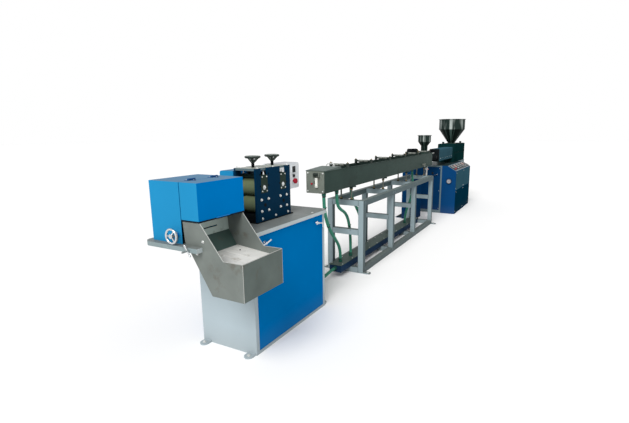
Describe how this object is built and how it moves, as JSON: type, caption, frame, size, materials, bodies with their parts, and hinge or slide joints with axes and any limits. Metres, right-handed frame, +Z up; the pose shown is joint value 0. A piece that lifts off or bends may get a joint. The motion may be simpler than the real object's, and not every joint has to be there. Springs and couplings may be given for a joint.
{
  "type": "drinking straw making machine",
  "caption": "Drinking straw extrusion line: extruder with hopper, small co-extruder, cooling tank on a tube frame, roller haul-off and cutter with a chute on a cabinet.",
  "frame": {"origin": "floor under the middle of the whole line, on the straw's own centre line", "axes": "+X along the line towards the extruder, +Z up, -Y the operator's side with the chute"},
  "size_m": [8.785, 1.056, 1.874],
  "materials": {
    "cabinet_grey": "satin",
    "panel_blue": "gloss",
    "cutter_blue": "gloss",
    "chrome": "polished",
    "table_grey": "satin",
    "black_iron": "satin",
    "stainless": "brushed",
    "polished_steel": "polished",
    "navy": "gloss",
    "roller_rubber": "matte",
    "block_green": "satin",
    "bridge_grey": "satin",
    "box_white": "satin",
    "stop_red": "gloss",
    "frame_grey": "satin",
    "tank_steel": "brushed",
    "trough_navy": "satin",
    "lid_green": "satin",
    "hose_green": "satin",
    "extruder_grey": "satin",
    "extruder_blue": "gloss",
    "gear_green": "satin",
    "cover_blue_grey": "satin",
    "gauge_dark": "satin"
  },
  "bodies": {
    "line": {"cabinet_body": "cabinet_grey", "cabinet_panels": "panel_blue", "cabinet_feet": "cabinet_grey", "panel_latches": "chrome", "table_plate": "table_grey", "cutter_housing": "cutter_blue", "hood_hinge_fixed": "black_iron", "cutter_motor": "black_iron", "chute_sides": "stainless", "chute_sheet": "stainless", "chute_floor": "stainless", "haul_off_base": "black_iron", "haul_off_plates": "navy", "haul_off_bridge": "bridge_grey", "drive_cover": "cutter_blue", "control_box": "box_white", "frame_posts": "frame_grey", "frame_crossbars": "frame_grey", "frame_rails": "frame_grey", "frame_feet": "frame_grey", "tank_supports": "tank_steel", "tank_trough": "tank_steel", "tank_floor": "tank_steel", "tank_ends": "tank_steel", "tank_lid": "tank_steel", "tank_guides": "tank_steel", "return_trough": "trough_navy", "trough_lid": "lid_green", "hose_fittings": "gauge_dark", "hose_1": "hose_green", "hose_2": "hose_green", "hose_3": "hose_green", "hose_4": "hose_green", "hose_5": "hose_green", "extruder_base": "extruder_grey", "control_cabinet": "extruder_blue", "extruder_panels": "extruder_blue", "pressure_gauge": "gauge_dark", "gearbox": "gear_green", "barrel_cover": "cover_blue_grey", "die_head": "black_iron", "main_hopper": "polished_steel", "coex_stand": "extruder_blue", "coex_drive": "black_iron", "coex_barrel": "tank_steel", "coex_hopper": "polished_steel"},
    "cutter_hood": {"cutter_hood": "cutter_blue", "hood_hinge_moving": "black_iron"},
    "cutter_knife": {"cutter_knife": "polished_steel"},
    "cutter_handwheel": {"cutter_handwheel": "chrome"},
    "table_lock": {"clamp_handle": "chrome"},
    "lower_roller_1": {"lower_roller_1": "roller_rubber"},
    "lower_roller_2": {"lower_roller_2": "roller_rubber"},
    "press_block_1": {"press_block_1": "block_green"},
    "press_block_2": {"press_block_2": "block_green"},
    "upper_roller_1": {"upper_roller_1": "roller_rubber"},
    "upper_roller_2": {"upper_roller_2": "roller_rubber"},
    "press_wheel_1": {"press_wheel_1": "chrome"},
    "press_wheel_2": {"press_wheel_2": "chrome"},
    "stop_button": {"stop_button": "stop_red"}
  },
  "joints": [
    {"name": "cutter_hood_hinge", "type": "hinge", "parent": "line", "child": "cutter_hood", "pos_m": [-4.0735, -0.046, 1.3285], "axis": [-1, 0, 0], "range_deg": [0, 100]},
    {"name": "cutter_knife_spin", "type": "hinge", "parent": "line", "child": "cutter_knife", "pos_m": [-3.876, 0.088, 1.085], "axis": [1, 0, 0], "continuous": true},
    {"name": "cutter_handwheel_spin", "type": "hinge", "parent": "line", "child": "cutter_handwheel", "pos_m": [-4.3305, -0.006, 0.983], "axis": [1, 0, 0], "continuous": true},
    {"name": "table_lock_turn", "type": "hinge", "parent": "line", "child": "table_lock", "pos_m": [-4.3925, -0.152, 0.91], "axis": [1, 0, 0], "range_deg": [-90, 90]},
    {"name": "lower_roller_1_spin", "type": "hinge", "parent": "line", "child": "lower_roller_1", "pos_m": [-3.4975, 0, 1.059], "axis": [0, 1, 0], "continuous": true},
    {"name": "lower_roller_2_spin", "type": "hinge", "parent": "line", "child": "lower_roller_2", "pos_m": [-3.2455, 0, 1.059], "axis": [0, 1, 0], "continuous": true},
    {"name": "press_1_lift", "type": "slide", "parent": "line", "child": "press_block_1", "axis": [0, 0, 1], "range_m": [0, 0.015]},
    {"name": "upper_roller_1_spin", "type": "hinge", "parent": "press_block_1", "child": "upper_roller_1", "pos_m": [-3.4975, 0, 1.197], "axis": [0, 1, 0], "continuous": true},
    {"name": "press_1_turn", "type": "hinge", "parent": "press_block_1", "child": "press_wheel_1", "pos_m": [-3.4975, 0, 1.431], "axis": [0, 0, 1], "range_deg": [0, 1082]},
    {"name": "press_2_lift", "type": "slide", "parent": "line", "child": "press_block_2", "axis": [0, 0, 1], "range_m": [0, 0.015]},
    {"name": "upper_roller_2_spin", "type": "hinge", "parent": "press_block_2", "child": "upper_roller_2", "pos_m": [-3.2455, 0, 1.197], "axis": [0, 1, 0], "continuous": true},
    {"name": "press_2_turn", "type": "hinge", "parent": "press_block_2", "child": "press_wheel_2", "pos_m": [-3.2455, 0, 1.431], "axis": [0, 0, 1], "range_deg": [0, 1082]},
    {"name": "stop_button_push", "type": "slide", "parent": "line", "child": "stop_button", "axis": [0, 1, 0], "range_m": [0, 0.006], "stiffness_N_per_m": 600}
  ],
  "couplings": [
    {"joint": "lower_roller_2_spin", "follows": "lower_roller_1_spin", "ratio": 1},
    {"joint": "upper_roller_1_spin", "follows": "lower_roller_1_spin", "ratio": -1},
    {"joint": "upper_roller_2_spin", "follows": "lower_roller_1_spin", "ratio": -1},
    {"joint": "press_1_turn", "follows": "press_1_lift", "rad_per_m": 1256.6},
    {"joint": "press_2_turn", "follows": "press_2_lift", "rad_per_m": 1256.6}
  ]
}
